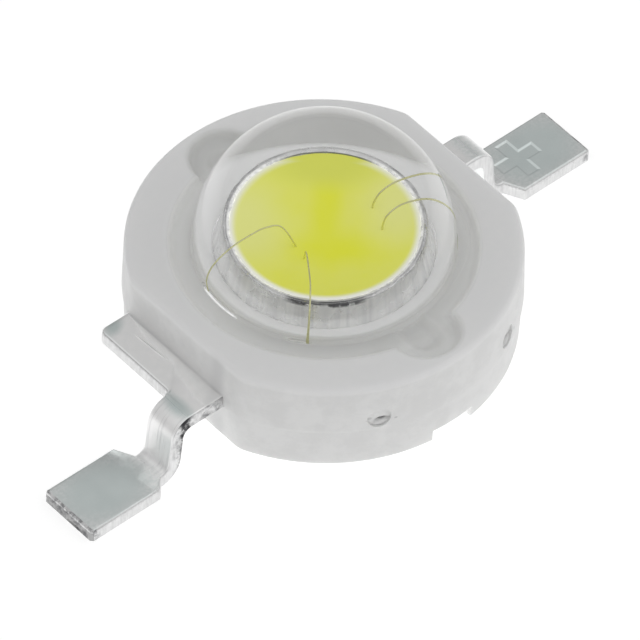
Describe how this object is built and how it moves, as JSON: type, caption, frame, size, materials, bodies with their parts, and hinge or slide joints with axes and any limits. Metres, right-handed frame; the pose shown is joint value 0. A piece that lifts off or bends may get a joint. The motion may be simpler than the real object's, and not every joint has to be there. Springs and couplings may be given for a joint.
{
  "type": "high power led",
  "caption": "Surface-mount light emitter with a clear dome lens over a phosphor cup, a round moulded body with two flats, a heat slug and two gull-wing leads.",
  "frame": {"origin": "on the housing's axis at board level, the middle of the part's underside", "axes": "+X along the leads towards the anode, +Z out of the lens away from the board"},
  "size_m": [0.0144, 0.008, 0.0052],
  "materials": {
    "housing_plastic": "moulded satin, slightly translucent whitish grey",
    "plated_slug": "silver plated copper",
    "plated_lead": "plated copper alloy strip, satin, with drawn marks at the bends",
    "die_attach_paste": "silver filled paste",
    "chip_crystal": "polished crystal",
    "gold_wire": "gold",
    "phosphor": "smooth yellow phosphor in silicone",
    "clear_silicone": "water clear soft silicone",
    "clear_lens": "water clear, polished"
  },
  "bodies": {
    "root": {"housing": "housing_plastic", "heat_slug": "plated_slug", "cathode_lead": "plated_lead", "anode_lead": "plated_lead", "die_attach": "die_attach_paste", "led_chip": "chip_crystal", "bond_wire_1": "gold_wire", "bond_wire_2": "gold_wire", "bond_wire_3": "gold_wire", "bond_wire_4": "gold_wire", "phosphor_fill": "phosphor", "silicone_fill": "clear_silicone", "lens": "clear_lens"}
  },
  "joints": []
}
